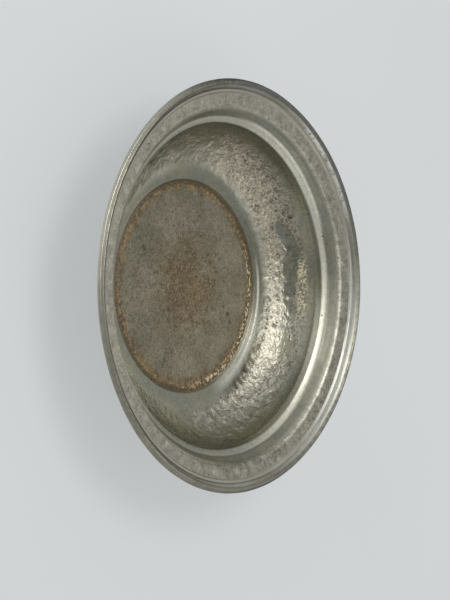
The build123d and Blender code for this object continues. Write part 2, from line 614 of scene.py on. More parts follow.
class Surface(ShaderTree):
    """A material that reads its piece's Object coordinates in millimetres."""

    def __init__(self, name: str) -> None:
        """Starts a material.

        Args:
            name: Its name.
        """
        super().__init__(bpy.data.materials.new(name))
        place = self.node("ShaderNodeTexCoord", output=3)
        self.place = self.node("ShaderNodeVectorMath", {"operation": "SCALE"}, {0: place, "Scale": 1 / MM})
        parts = self.node("ShaderNodeSeparateXYZ", {}, {0: self.place}).socket.node
        self.x, self.y, self.z = (Term(self, socket) for socket in parts.outputs)
        self.radius = (self.x * self.x + self.y * self.y) ** 0.5

    def grain(
        self,
        size: float,
        detail: float = 3.0,
        roughness: float = 0.55,
        place: Term | None = None,
        shift: float = 0.0,
    ) -> Term:
        """Soft random grain, mostly from 0.3 to 0.7.

        Args:
            size: Size of the largest grains, in millimetres.
            detail: Number of finer layers.
            roughness: How strong the finer layers are.
            place: Coordinates to read, or the piece's own.
            shift: Moves the grain, so that two of one size differ.

        Returns:
            The grain.
        """
        return self.node(
            "ShaderNodeTexNoise",
            {"noise_dimensions": "4D"},
            {
                "Vector": place or self.place,
                "W": shift,
                "Scale": 1 / size,
                "Detail": detail,
                "Roughness": roughness,
            },
        )

    def cells(self, size: float, output: int = 0) -> Term:
        """Random cells.

        Args:
            size: Size of a cell, in millimetres.
            output: 0 for the distance, 1 for the cell's random colour.

        Returns:
            The distance or colour.
        """
        inputs = {"Vector": self.place, "Scale": 1 / size}
        return self.node("ShaderNodeTexVoronoi", {"feature": "F1"}, inputs, output)

    def pits(self, spacing: float, share: float, size: float) -> Term:
        """Sparse small pits.

        Args:
            spacing: Size of the cells that may hold a pit, in millimetres.
            share: Share of the cells that do.
            size: Radius of a pit, as a share of its cell.

        Returns:
            1 in a pit and 0 outside.
        """
        near = self.cells(spacing).above(size, size * 0.5)
        chosen = self.node("ShaderNodeSeparateColor", {}, {0: self.cells(spacing, output=1)})
        return near * chosen.above(1 - share, 1 - share + 0.02)

    def round_and_across(self, around: float, across: float) -> Term:
        """Coordinates for marks that follow the dish: along the rings and across them.

        Args:
            around: Stretch along the rings.
            across: Stretch across the rings.

        Returns:
            The coordinates.
        """
        cosine, sine = self.x / self.radius, self.y / self.radius
        inputs = {0: cosine * around, 1: sine * around, 2: (self.radius + self.z) * across}
        return self.node("ShaderNodeCombineXYZ", {}, inputs)

    def facing(self, turn: float) -> Term:
        """Cosine of the angle round the axis between a point and a given turn in degrees."""
        angle = math.radians(turn)
        return (self.x * math.cos(angle) + self.y * math.sin(angle)) / self.radius

    def side(self, turn: float, low: float, high: float) -> Term:
        """1 on the side of the dish at a turn, where facing() climbs from low to high."""
        return self.facing(turn).above(low, high)

    def spot(self, radius: float, turn: float, size: float) -> Term:
        """A round spot on the piece, ragged by fine grain.

        Args:
            radius: Its distance from the axis, in millimetres.
            turn: Its turn in degrees.
            size: Its radius.

        Returns:
            1 in the spot and 0 outside.
        """
        angle = math.radians(turn)
        off_x, off_y = self.x - radius * math.cos(angle), self.y - radius * math.sin(angle)
        return ((off_x * off_x + off_y * off_y) ** 0.5 / size + self.grain(size) - 0.5).above(1.1, 0.7)

    def attribute(self, name: str) -> Term:
        """A float attribute of the piece."""
        return self.node("ShaderNodeAttribute", {"attribute_name": name}, output=2)

    def finish(self, inputs: dict[str, Any], height: Term, depth: float) -> bpy.types.Material:
        """Closes the material with its shader and relief.

        Args:
            inputs: Sockets of the shader.
            height: Relief, from 0 to 1.
            depth: Depth of the relief, in millimetres.

        Returns:
            The material.
        """
        relief = self.node("ShaderNodeBump", {}, {"Strength": 1.0, "Distance": depth * MM, "Height": height})
        shader = self.node("ShaderNodeBsdfPrincipled", {}, {**inputs, "Normal": relief})
        self.node("ShaderNodeOutputMaterial", {}, {"Surface": shader})
        return self.owner


# ---------------------------------------------------------------------------
# Finishes
# ---------------------------------------------------------------------------

class Tint(Enum):
    """Colours of the metal and its lining, as linear values."""

    OLIVE = (0.325, 0.315, 0.238)
    COOL = (0.290, 0.294, 0.240)
    WARM = (0.365, 0.345, 0.285)
    BURNISHED = (0.445, 0.440, 0.365)
    # BRIGHT serves only painted highlights, and SILVER painted highlights and the solder's lighter clouds;
    # SLATE and UMBER carry painted shade as well as tarnish, rust and grime.
    BRIGHT = (0.600, 0.590, 0.500)
    TARNISH = (0.095, 0.090, 0.066)
    PIT = (0.030, 0.026, 0.018)
    LINING = (0.134, 0.120, 0.079)
    LINING_LIGHT = (0.178, 0.160, 0.112)
    STAIN = (0.104, 0.070, 0.032)
    RUST = (0.205, 0.125, 0.040)
    GILT = (0.740, 0.655, 0.450)
    SILVER = (0.590, 0.595, 0.540)
    SLATE = (0.098, 0.099, 0.093)
    BUFF = (0.390, 0.350, 0.268)
    UMBER = (0.080, 0.054, 0.022)


@dataclass(frozen=True)
class HammeredPewter:
    """The shell's metal: hammered wall, burnished bead, ringed ledge, stroked brim and lustreless underside,
    with painted highlights and painted shade at fixed turns.
    """

    ledge_radius: float
    line_radius: float
    wall_radius: float
    mouth_radius: float
    bead_inner: float
    bead_outer: float
    brim_radius: float
    shade_radius = 55.3
    sheen_radius = 56.0
    crease_radius = 54.6
    gilt_radius = 68.0
    relief = 0.22

    def material(self) -> bpy.types.Material:
        """Makes the material."""
        s = Surface("hammered_pewter")
        under = s.attribute("underside")
        upper = 1 - under
        radius = s.radius
        wall = radius.above(self.wall_radius + 1.8, self.wall_radius + 6.5) * upper
        wall *= radius.above(self.mouth_radius - 0.3, self.mouth_radius - 3.5)
        brim = radius.above(self.brim_radius - 0.5, self.brim_radius + 0.2) * upper
        ledge = radius.above(self.wall_radius + 3, self.wall_radius) * upper
        bead = radius.above(self.bead_inner - 0.4, self.bead_inner + 0.5) * upper
        bead *= radius.above(self.bead_outer + 0.4, self.bead_outer - 0.2)
        cove = radius.above(self.bead_outer - 0.2, self.bead_outer + 0.4) * (1 - brim) * upper
        # The side towards turn 62, where the brim's inner corner gets a painted highlight.
        corner_highlight_side = s.facing(62)
        # Painted highlight along the turned line round the ledge, towards turn 68.
        line = upper * radius.within(self.line_radius, 0.35, 0.5) * s.side(68, 0.74, 0.93)
        # Painted highlight on the ledge towards turn 50.
        side_highlight = s.side(50, 0.84, 0.98) * ledge
        blotch = s.grain(13, detail=4)
        cloud = s.grain(4.5, detail=4, shift=3)
        mottle = s.grain(2.1, detail=3, roughness=0.6, shift=5)
        grit = s.grain(1.0, detail=2, roughness=0.7)
        strokes = s.grain(1, detail=3, place=s.round_and_across(24, 0.14))
        rings = s.grain(1, detail=2, place=s.round_and_across(3, 2.2))
        facet = s.attribute("dent").above(0.55, 0.0) * wall
        ragged = s.attribute("polish") + (cloud - 0.5) * 1.9 + (mottle - 0.5) * 1.2
        polish = ragged.above(0.10, 0.50) * s.attribute("polish").above(0.0, 0.05)
        # Gritty patches of the wall in warmer, lighter and rougher metal; the facing(105) term crowds them
        # towards turn 105, which makes them in part a painted highlight.
        matt = (blotch + s.facing(105) * 0.24 + (cloud - 0.5) * 0.8 + (mottle - 0.5) * 0.4).above(0.38, 0.68)
        matt *= wall * (1 - polish)
        colour = s.blend(blotch.above(0.42, 0.58), Tint.OLIVE.value, Tint.COOL.value)
        roll = radius.within(self.brim_radius + 0.1, 0.7, 0.9) * upper
        colour = s.blend((brim * 0.8).either(matt * 0.9), colour, Tint.WARM.value)
        colour = s.blend(matt * s.side(145, 0.35, 0.85) * 0.9, colour, Tint.BUFF.value)
        colour = s.blend(bead * 0.9, colour, Tint.BURNISHED.value)
        # Painted highlight on the brim's inner corner, towards turns 62 and 240.
        corner = roll * (corner_highlight_side.above(0.55, 0.95) * 0.6).either(s.side(240, 0.5, 0.9) * 0.3)
        # Painted highlight on the step under the brim's inner edge, towards turns 250 and 310.
        riser_highlight = (s.side(250, -0.3, 0.5) * 0.7).either(s.side(310, 0.6, 0.9))
        riser_highlight *= radius.within(self.brim_radius - 0.5, 0.4, 0.5)
        # Painted highlight on the bead's outer edge towards turn 142, and on the cove towards turns 80 and
        # 222.
        lit = s.side(142, 0.80, 0.95) * radius.within(self.bead_outer - 0.1, 0.4, 0.5) * 0.9
        lit = lit.either(cove * s.side(80, 0.93, 0.99) * 0.40)
        lit = lit.either(cove * s.side(222, 0.9, 0.99) * 0.5)
        # Painted highlight on the narrow band under the bead, towards turn 50.
        neck_highlight = radius.within(self.bead_inner - 0.5, 0.3, 0.3) * s.side(50, 0.72, 0.94) * 0.8
        # Painted highlight on the bead towards turn 48; joined with the corner, step, band and cove
        # highlights, it is laid on in BRIGHT.
        shine = bead * s.side(48, 0.60, 0.96) * 0.28
        for part in (corner, neck_highlight, riser_highlight, lit):
            shine = shine.either(part)
        colour = s.blend(shine * upper, colour, Tint.BRIGHT.value)
        # The turned line and the ledge's highlight are laid on in BRIGHT.
        colour = s.blend((line * 0.9).either(side_highlight * 0.8), colour, Tint.BRIGHT.value)
        # Grain of the metal from its noises, with the cove a little darker, the polished patches' ridges
        # lighter and the ledge a little darker off its highlights; painted shade and painted highlight are
        # added below.
        grains = (grit - 0.5) * (0.6 + matt * 2.1 + brim * 0.9)
        grains = grains + (mottle - 0.5) * (0.5 + matt * 1.0 + brim * 0.3)
        grains = grains + (strokes - 0.5) * brim * 1.0 + (rings - 0.5) * (bead + ledge) * 0.25
        grains = grains + (cloud - 0.5) * (matt * 0.7 + brim * 0.7) - cove * (1 - roll) * 0.10
        # Painted shade: the bead darker towards turn 345.
        grains = grains - bead * s.side(345, 0.72, 0.98) * 0.28
        # Painted highlight: the ledge lighter towards turn 72.
        grains = grains + ledge * (1 - line) * s.side(72, 0.92, 0.99) * 0.25
        grains = grains + facet * polish * 0.25 - ledge * (1 - line) * (1 - side_highlight) * 0.12
        # Painted shade on fixed sides of the ledge, the band round shade_radius, the wall and the inner brim;
        # the polished patches are darker, with a painted highlight towards turn 70 and random tone from the
        # cloud, and the band round sheen_radius gets a painted highlight towards turn 222.
        shaded = ledge * s.side(105, 0.86, 0.97) * (1 - line) * 0.15
        shaded = shaded + radius.within(self.shade_radius, 1.2, 1.5) * s.side(57, 0.78, 0.95) * 0.50
        shaded = shaded + polish * (0.12 - s.side(70, 0.93, 0.995) * 0.24)
        shaded = shaded + polish * (0.5 - cloud) * 0.6
        shaded = shaded + wall * s.side(35, 0.85, 0.98) * 0.08
        shaded = shaded + wall * s.side(128, 0.80, 0.98) * 0.16
        shaded = shaded - radius.within(self.sheen_radius, 2.0, 4.0) * s.side(222, 0.80, 0.97) * 0.45
        inner_brim = radius.within(self.brim_radius + 1.2, 0.9, 1.0)
        shaded = shaded + inner_brim * s.side(8, 0.80, 0.97) * 0.12
        grains = grains - shaded * upper
        pale = s.cells(6.5).above(0.34, 0.16) * brim * cloud.above(0.4, 0.6)
        # Random pale patches on the brim; the facing(240) term is painted light, the brim lighter towards
        # turn 240 and darker opposite.
        colour = s.shade(colour, 1 + grains + pale * 0.30 + (s.facing(240) - 0.2) * brim * 0.12)
        # Grooves beside the bead and at the brim's foot made darker, kept off the painted highlights; at the
        # brim's foot the darkening is painted shade towards turn 88.
        groove = radius.within(self.bead_outer, 0.15, 0.45) * 0.75
        groove = groove.either(radius.within(self.bead_inner - 0.35, 0.1, 0.5) * (1 - neck_highlight) * 0.5)
        brim_foot = radius.within(self.brim_radius - 0.6, 0.1, 0.2)
        groove = groove.either(brim_foot * s.side(88, 0.9, 0.98) * 0.5)
        groove *= upper * (1 - lit)
        recess = radius.above(self.ledge_radius + 0.5, self.ledge_radius - 0.4) * upper
        # Tarnish: cloudy grime on the underside, grit specks on the matt wall, and the darkened grooves.
        dirt_and_dark_grooves = groove * 0.8 + under * cloud.above(0.36, 0.72) * 0.35 + matt * grit.above(0.66, 0.76) * 0.22
        colour = s.blend(dirt_and_dark_grooves, colour, Tint.TARNISH.value)
        # Umber round the disc's rim, deeper away from turn 300; that lean is painted shade.
        colour = s.blend(recess * (0.50 - s.facing(300) * 0.16), colour, Tint.UMBER.value)
        # Painted shade: ragged umber in a band just outside the ledge, towards turn 46.
        crease = radius.within(self.crease_radius, 0.6, 2.4) * s.side(46, 0.94, 0.99)
        crease *= cloud.above(0.36, 0.60) * upper
        colour = s.blend(crease * 0.50, colour, Tint.UMBER.value)
        gilt = radius.within(self.gilt_radius, 0.6, 0.9) * s.side(90, 0.972, 0.99)
        gilt *= (mottle * 0.40 + grit * 0.60).above(0.47, 0.56) * upper
        colour = s.blend(gilt * 0.9, colour, Tint.GILT.value)
        pit = s.pits(3.4, 0.12, 0.13).either(s.attribute("pit"))
        colour = s.blend(pit * 0.9, colour, Tint.PIT.value)
        rough = 0.22 + matt * 0.13 + brim * 0.12 + cove * 0.08 + bead * 0.14 + roll * 0.08
        rough = rough + cloud * 0.10 + under * 0.12 + dirt_and_dark_grooves * 0.2 + recess * 0.3
        height = matt * (grit * 0.7 + mottle * 0.8) + (wall + under) * mottle * 0.35
        height = height + brim * (strokes * 0.3 + mottle * 0.3)
        height = height + grit * 0.18 - pit * 0.8 - facet * 0.12
        inputs = {"Base Color": colour, "Metallic": 1 - gilt * 0.75, "Roughness": rough}
        return s.finish(inputs, height, self.relief)


@dataclass(frozen=True)
class RimPewter:
    """The moulding's metal: tarnished on its crown and outer face, with painted highlights and painted shade
    on fixed sides.
    """

    crest_radius: float
    foot_radius: float
    edge_tint = (0.45, 0.45, 0.43)
    relief = 0.12

    def material(self) -> bpy.types.Material:
        """Makes the material."""
        s = Surface("rim_pewter")
        cloud = s.grain(5, detail=4)
        mottle = s.grain(1.8, detail=3, shift=4)
        grit = s.grain(0.7, detail=3, roughness=0.65)
        drag = s.grain(1, detail=3, place=s.round_and_across(16, 3.0))
        colour = s.blend(cloud.above(0.4, 0.6), Tint.WARM.value, Tint.OLIVE.value)
        crown = s.radius.above(self.crest_radius - 1.9, self.crest_radius - 1.0)
        outer = s.radius.above(self.crest_radius + 0.2, self.crest_radius + 0.9)
        # Painted highlight towards turn 243: the crown and outer face lighter there, and the outer face laid
        # over with BRIGHT.
        side_highlight = s.side(243, 0.60, 0.95)
        # Painted shade: the crown and outer face darker and less metallic towards turn 142, and a little
        # towards turn 35.
        black = s.side(142, 0.62, 0.90).either(s.side(35, 0.80, 0.98) * 0.4)
        # Painted shade on the outer face towards turn 15, and painted highlight towards turn 310.
        outer_side_shading = s.side(15, 0.7, 1.0) * 0.2 - s.side(310, 0.5, 0.95) * 0.4
        # Painted highlight: the crown lighter towards turn 345.
        pale = s.side(345, 0.80, 0.98) * 0.15
        # Darkness of the crown and outer face: tarnish, with the painted shade and painted highlight above,
        # ragged by drag and mottle; grime at the foot, nicks, grit specks and the painted edge shade join it
        # below.
        tarnish_and_shade = crown * (0.42 + black * 0.25 - side_highlight * 0.10 - pale)
        tarnish_and_shade = tarnish_and_shade + outer * (0.10 + black * 0.4 - side_highlight * 0.35 + outer_side_shading)
        tarnish_and_shade = (tarnish_and_shade + (drag - 0.5) * 0.8 * crown + (mottle - 0.5) * 0.6 * crown + 0.10).above(0.05, 0.95)
        foot = s.radius.within(self.foot_radius + 0.75, 0.1, 0.4)
        tarnish_and_shade = tarnish_and_shade.either(foot * cloud.above(0.40, 0.60) * 0.35)
        inner = 1 - crown
        # Painted highlight on the inner face in SILVER: smooth towards turn 60, in specks towards turn 130.
        speckled_highlight = s.side(130, 0.92, 0.98) * mottle.above(0.32, 0.55)
        bright = inner * (s.side(60, 0.70, 0.95) * 0.8).either(speckled_highlight)
        colour = s.blend(bright, colour, Tint.SILVER.value)
        nicks = s.grain(1, detail=2, place=s.round_and_across(45, 0.25), shift=2).above(0.60, 0.72)
        tarnish_and_shade = tarnish_and_shade.either(nicks * s.radius.within(self.crest_radius - 2.2, 0.6, 0.6) * 0.45)
        # Painted shade: the outermost edge darker, rougher and less metallic on the half of the dish towards
        # turn 80.
        rim_edge = s.radius.above(self.crest_radius - 0.7, self.crest_radius + 0.2)
        edge = rim_edge * s.side(80, -0.2, 0.5)
        tarnish_and_shade = tarnish_and_shade.either(edge * 0.85)
        # Painted highlight in SILVER on the crest's inner flank, towards turns 195 and 342.
        flank_highlight = s.side(195, 0.85, 0.98).either(s.side(342, 0.85, 0.98))
        flank_highlight *= s.radius.within(self.crest_radius - 1.8, 0.4, 0.5)
        colour = s.blend(flank_highlight * 0.8, colour, Tint.SILVER.value)
        tarnish_and_shade = tarnish_and_shade.either(grit.above(0.60, 0.72) * 0.35)
        # Painted highlight on the outer face towards turn 243.
        colour = s.blend(side_highlight * 0.8 * outer, colour, Tint.BRIGHT.value)
        # Painted shade: the inner face darker towards turn 250.
        inner_side_shade = inner * s.side(250, -0.3, 0.6) * 0.40
        colour = s.shade(colour, 1 + (drag - 0.5) * 0.7 + (grit - 0.5) * 0.5 - inner_side_shade)
        colour = s.blend(tarnish_and_shade, colour, Tint.SLATE.value)
        rough = 0.25 + cloud * 0.12 + tarnish_and_shade * 0.25 + edge * 0.2
        metallic = 1 - (tarnish_and_shade * black * 0.7).either(edge * 0.9)
        inputs = {"Base Color": colour, "Metallic": metallic, "Roughness": rough}
        inputs["Specular Tint"] = self.edge_tint
        return s.finish(inputs, grit * 0.4 + drag * 0.3 + mottle * 0.3, self.relief)


@dataclass(frozen=True)
class SolderMetal:
    """Soft solder: a little lumpy, lustreless in its hollows, lighter in random clouds, with a painted
    highlight and painted shade on fixed sides.
    """

    name: str
    relief = 0.03

    def material(self) -> bpy.types.Material:
        """Makes the material."""
        s = Surface(self.name)
        cloud = s.grain(12, detail=3)
        grit = s.grain(0.6, detail=3)
        # Lighter in random clouds, with a painted highlight towards turn 73 and painted shade towards turn
        # 125.
        bright = cloud.above(0.3, 0.7) * 0.3 + s.side(73, 0.72, 0.98) * 0.75
        bright = bright - s.side(125, 0.8, 0.97) * 0.3
        colour = s.blend(bright, Tint.WARM.value, Tint.SILVER.value)
        colour = s.blend(grit.above(0.62, 0.72) * 0.4, colour, Tint.TARNISH.value)
        rough = 0.30 + cloud * 0.1
        inputs = {"Base Color": colour, "Metallic": 1.0, "Roughness": rough}
        return s.finish(inputs, grit * 0.6 + cloud * 0.4, self.relief)


@dataclass(frozen=True)
class LiningStain:
    """The disc and the crust round it: matt, stained in the middle, brown and grainy at the edge, with
    painted light across the disc and painted glints in the crust.
    """

    name: str
    edge_radius: float
    specks: tuple[tuple[float, float, float], ...] = (
        (31.5, 66, 1.4), (34.5, 62, 1.2), (27.5, 70, 0.9), (30.5, 339, 2.2),
        (34.5, 336, 2.4), (38.5, 334, 1.6), (33, 240, 1.6),
    )
    stain_reach = 24
    stain_off = 0.5
    relief = 0.16

    def material(self) -> bpy.types.Material:
        """Makes the material."""
        s = Surface(self.name)
        cloud = s.grain(7, detail=5, roughness=0.6)
        patch = s.grain(17, detail=4, shift=5)
        mottle = s.grain(2.6, detail=4, roughness=0.65, shift=6)
        grit = s.grain(0.8, detail=2, roughness=0.7)
        speck = s.grain(1.4, detail=1, shift=4)
        weave = s.grain(1.3, detail=3, roughness=0.75, shift=9)
        colour = s.blend(patch.above(0.40, 0.60), Tint.LINING.value, Tint.LINING_LIGHT.value)
        off_x, off_y = s.x + self.stain_off, s.y + self.stain_off
        reach = (off_x * off_x + off_y * off_y) ** 0.5
        stain = (reach / self.stain_reach + (cloud - 0.5) * 2.0 + (mottle - 0.5) * 2.2).above(1.15, 0.35)
        brown = s.blend(mottle.above(0.40, 0.62) * 0.35, Tint.STAIN.value, Tint.RUST.value)
        colour = s.blend(stain * 0.75, colour, brown)
        grains = 1 + (weave - 0.5) * 1.9 + (mottle - 0.5) * 0.5 + (grit - 0.5) * (1.8 + stain * 2.0)
        # The facing(40) term is painted light: the disc lighter towards turn 40 and darker towards turn 220,
        # more so near its edge.
        colour = s.shade(colour, grains + s.facing(40) * s.radius * 0.0025)
        inward = self.edge_radius - s.radius
        wide = s.facing(15) * 0.9 + s.side(35, 0.6, 1.0) * 0.9 + 3.7
        edge = (inward / wide + (cloud - 0.5) * 1.5 + (mottle - 0.5) * 1.5).above(1.40, 0.25)
        rust = s.blend(mottle.above(0.42, 0.60), Tint.UMBER.value, Tint.RUST.value)
        rust = s.shade(rust, 0.93)
        # Bright specks in the crust: sparse all round, and thick towards turn 58, where they are painted
        # glints.
        glints = speck.above(0.47, 0.62) * (s.side(58, 0.40, 0.90) * 0.85 + 0.14)
        glints *= inward.above(3.4, 1.0)
        rust = s.blend(glints, rust, Tint.GILT.value)
        rust = s.shade(rust, 1 + (grit - 0.5) * 3.2)
        colour = s.blend(edge * 0.90, colour, rust)
        rim_dirt = s.radius.above(self.edge_radius - 0.4, self.edge_radius + 0.5) * (1 - glints)
        colour = s.blend(rim_dirt * 0.8, colour, Tint.UMBER.value)
        pit = s.pits(4.0, 0.22, 0.10)
        for radius, turn, size in self.specks:
            pit = pit.either(s.spot(radius, turn, size) * mottle.above(0.40, 0.56))
        colour = s.blend(pit * 0.75, colour, Tint.PIT.value)
        metallic = glints * edge * 0.6 + 0.12
        rough = 0.68 - edge * 0.2
        height = grit * (0.4 + edge) + mottle * (0.3 + edge) + weave * 0.4 - pit * 0.5
        inputs = {"Base Color": colour, "Metallic": metallic, "Roughness": rough}
        return s.finish(inputs, height, self.relief)


# ---------------------------------------------------------------------------
# Pieces
# ---------------------------------------------------------------------------

class Piece:
    """A finished piece that stands for one solid of the frame."""

    node = ""
    slot = ""

    def __init__(self, section: PlateSection) -> None:
        """Keeps the plate's section.

        Args:
            section: The section that all pieces share.
        """
        self.section = section

    def model(self) -> bpy.types.Object:
        """Builds the piece's mesh."""
        raise NotImplementedError

    def material(self) -> bpy.types.Material:
        """Makes the piece's finish."""
        raise NotImplementedError

    def build(self) -> bpy.types.Object:
        """Builds, dresses and seats the piece.

        Returns:
            The finished piece.
        """
        piece = self.model()
        piece.data.materials.append(self.material())
        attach(piece, BODY)
        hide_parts(self.node)
        log.info("%s: %d faces", piece.name, len(piece.data.polygons))
        return piece


@dataclass(frozen=True)
class Pit:
    """One deep pit in the bowl: its turn in degrees, its radius from the axis and its size."""

    turn: float
    radius: float
    size: float


@dataclass(frozen=True)
class Patch:
    """A smooth patch of the wall, free of grit from rubbing: its turn, radius, half turn and half width."""

    turn: float
    radius: float
    half_turn: float
    half_width: float

    def at(self, turn: float, radius: float) -> float:
        """How far inside the patch a place is, from 0 at its edge to 1 at its middle."""
        away = (turn - self.turn + 180) % 360 - 180
        return max(0.0, 1 - (away / self.half_turn) ** 2 - ((radius - self.radius) / self.half_width) ** 2)


class RaisedShell(Piece):
    """The raised and hammered sheet: floor, ledge, bowl, bead, step and brim, with its underside."""

    node = "dish_shell"
    slot = "hammered_pewter"
    steps = 600
    wall_course = HammerCourse(
        pitch=2.9, pitch_round=3.6, reach=2.5, reach_round=2.5, depth=0.18, scatter=0.9, seed=11)
    under_course = HammerCourse(
        pitch=4.2, pitch_round=5.0, reach=3.6, reach_round=3.6, depth=0.22, scatter=1.0, seed=5)
    brim_course = HammerCourse(
        pitch=6.0, pitch_round=4.2, reach=4.0, reach_round=2.8, depth=0.06, scatter=1.2, seed=3)
    line_radius = 51.2
    line_width = 3.0
    line_height = 0.30
    line_turn = 64.0
    line_reach = 50.0
    brim_crown = 0.16
    crown_gain = 6.75
    polished_lead = 0.05
    line_offset = 0.8
    floor_ring = 20
    base_ring = 40
    sharp_angle = 38
    pits = (
        Pit(72, 59.8, 1.0), Pit(84, 60.0, 0.7), Pit(122, 66.0, 0.6), Pit(119, 67.2, 0.75), Pit(45, 55.1, 0.9),
    )
    deeper_marks = (
        (107, 68.2, 1.9, 0.42), (113, 65.0, 2.0, 0.36), (99, 65.8, 2.1, 0.38), (93, 63.6, 1.9, 0.36),
        (86, 64.2, 1.9, 0.36), (100, 68.4, 1.5, 0.30), (79, 65.0, 1.9, 0.34), (47, 55.6, 2.2, 0.40),
    )
    polished = (
        Patch(115.5, 63.2, 5.0, 1.9), Patch(110, 65.0, 6.0, 2.2), Patch(103.5, 65.6, 8.0, 2.7),
        Patch(96, 64.2, 9.0, 2.8), Patch(88, 63.8, 9.0, 2.5), Patch(80, 64.6, 7.0, 2.1),
        Patch(99.5, 68.3, 2.2, 0.9), Patch(66, 64.5, 8.0, 1.8),
    )

    def outline(self) -> Outline:
        """The closed section, from the middle of the floor round to the middle of the base."""
        s = self.section
        path = Outline(s["floor_centre"])
        path.line(Vector((self.floor_ring, s.sheet)))
        path.line(Vector((s["floor_edge"].x - 2, s.sheet)), 2)
        path.corner(s["floor_edge"], s["ledge_inner"], s.step_blend)
        path.corner(s["ledge_inner"], s["ledge_outer"], s.step_blend)
        path.line(s["ledge_outer"], 7)
        path.arc(s["mouth"], s["bowl_centre"], 46)
        path.line(s["bead_inner"], 4)
        path.arc(s["bead_outer"], s["bead_centre"], 10)
        path.corner(s["knee"], s["brim_inner"], s.knee_blend, before=4)
        path.corner(s["brim_inner"], s["brim_edge"], s.brim_blend, rings=8)
        path.line(s["foot"], 11)
        path.line(s["brim_edge"])
        path.mark("under")
        path.line(s["edge_low"])
        path.line(s["brim_corner"], 8)
        path.line(s["shoulder_corner"], 6)
        path.arc(s["bowl_foot"], s["bowl_centre"], 32)
        path.line(s["ledge_corner"], 3)
        path.line(s["base_corner"], 2)
        path.line(Vector((self.base_ring, 0)))
        path.line(Vector((self.floor_ring, 0)))
        path.line(Vector((0, 0)))
        return path

    def bowl_blow(self, turn: float, radius: float, reach: float, depth: float) -> Blow:
        """One deeper mark in the bowl.

        Args:
            turn: Its turn in degrees.
            radius: Its radius from the axis, in millimetres.
            reach: How far it reaches.
            depth: Its depth.

        Returns:
            The mark.
        """
        centre = self.section["bowl_centre"]
        height = centre.y - math.sqrt(self.section.bowl_radius**2 - (radius - centre.x) ** 2)
        angle = math.radians(turn)
        place = Vector((radius * math.cos(angle), radius * math.sin(angle), height))
        return Blow(place=place * MM, reach_round=reach * MM, reach_across=reach * MM, depth=depth * MM)

    def bowl_station(self, lift: float) -> Callable[[float], Vector]:
        """A function that gives the bowl's point at a distance along its arc.

        Args:
            lift: Distance outside the inner face, in millimetres.

        Returns:
            The function, from a distance to a point in millimetres.
        """
        centre, radius = self.section["bowl_centre"], self.section.bowl_radius + lift
        start = self.section.bowl_slope - 90

        def station(along: float) -> Vector:
            """The point at a distance along the arc."""
            return centre + radius * slope_vector(start + math.degrees(along / radius))

        return station

    def model(self) -> bpy.types.Object:
        """Spins the section and hammers its wall, its brim and its outside."""
        s = self.section
        outline = self.outline()
        piece = turned("hammered_shell", outline, self.steps, self.sharp_angle)
        rings = rings_of(piece, outline)
        length = math.radians(2 * (slope_of(s["ledge_outer"], s["mouth"]) - s.bowl_slope)) * s.bowl_radius
        brim_length = (s["foot"] - s["brim_inner"]).length
        brim = self.brim_course.blows(
            lambda along: s["brim_inner"].lerp(s["foot"], along / brim_length), brim_length)
        deeper = [self.bowl_blow(*mark) for mark in self.deeper_marks]
        inside = HammerWork(self.wall_course.blows(self.bowl_station(0), length) + brim + deeper)
        outside = HammerWork(self.under_course.blows(self.bowl_station(s.sheet), length))
        moves, dents, unders, pits, polish = [], [], [], [], []
        for ring, (point, normal) in zip(rings, places_and_normals(piece)):
            under = ring > outline.marks["under"]
            fade = self.hammer_fade(point)
            if not under:
                point.z += self.turned_line(point) + self.crown(point)
            depth, lead = (outside if under else inside).depth_at(point) if fade > 0 else (0.0, 0.0)
            moves.append(point - normal * depth * fade)
            dents.append(lead / (self.polished_lead * MM) * fade)
            unders.append(float(under))
            pits.append(0.0 if under else self.pit_at(point))
            turn, radius = math.degrees(math.atan2(point.y, point.x)), math.hypot(point.x, point.y) / MM
            polish.append(0.0 if under else max(patch.at(turn, radius) for patch in self.polished))
        place_all(piece, moves)
        paint(piece, "dent", dents)
        paint(piece, "underside", unders)
        paint(piece, "pit", pits)
        paint(piece, "polish", polish)
        return piece

    def turned_line(self, point: Vector) -> float:
        """How far the raised line round the ledge lifts a point, in metres."""
        away = (math.hypot(point.x, point.y) / MM - self.line_radius) / (self.line_width / 2)
        turn = math.degrees(math.atan2(point.y, point.x)) - self.line_turn
        if abs(away) >= 1 or abs(turn) >= self.line_reach:
            return 0.0
        fade = math.cos(turn / self.line_reach * math.pi / 2) ** 0.5
        return self.line_height * MM * fade * math.cos(away * math.pi / 2) ** 2

    def crown(self, point: Vector) -> float:
        """How far the brim swells above its straight cone at a point, in metres."""
        start, end = self.section["brim_inner"].x, self.section["solder_low"].x
        along = (math.hypot(point.x, point.y) / MM - start) / (end - start)
        return self.brim_crown * MM * self.crown_gain * along * (1 - along) ** 2 if 0 < along < 1 else 0.0

    def hammer_fade(self, point: Vector) -> float:
        """How strongly a point takes a hammer mark, from 0 on the smooth bands to 1."""
        s = self.section
        radius = math.hypot(point.x, point.y) / MM
        bowl = min(1, max(0, (radius - s["ledge_outer"].x - 0.3) / 2.5))
        bowl *= min(1, max(0, (s["mouth"].x - 1.2 - radius) / 2.5))
        brim = min(1, max(0, (radius - s["brim_inner"].x - 0.6) / 1.0))
        brim *= min(1, max(0, (s["solder_low"].x - 0.3 - radius) / 2.8))
        return max(bowl, brim)

    def pit_at(self, point: Vector) -> float:
        """How deep in a pit a point lies, from 0 to 1."""
        best = 0.0
        radius = math.hypot(point.x, point.y) / MM
        turn = math.degrees(math.atan2(point.y, point.x))
        for pit in self.pits:
            away = math.hypot((turn - pit.turn) * math.radians(pit.radius), radius - pit.radius)
            best = max(best, 1 - away / pit.size)
        return min(1.0, best * 1.6)

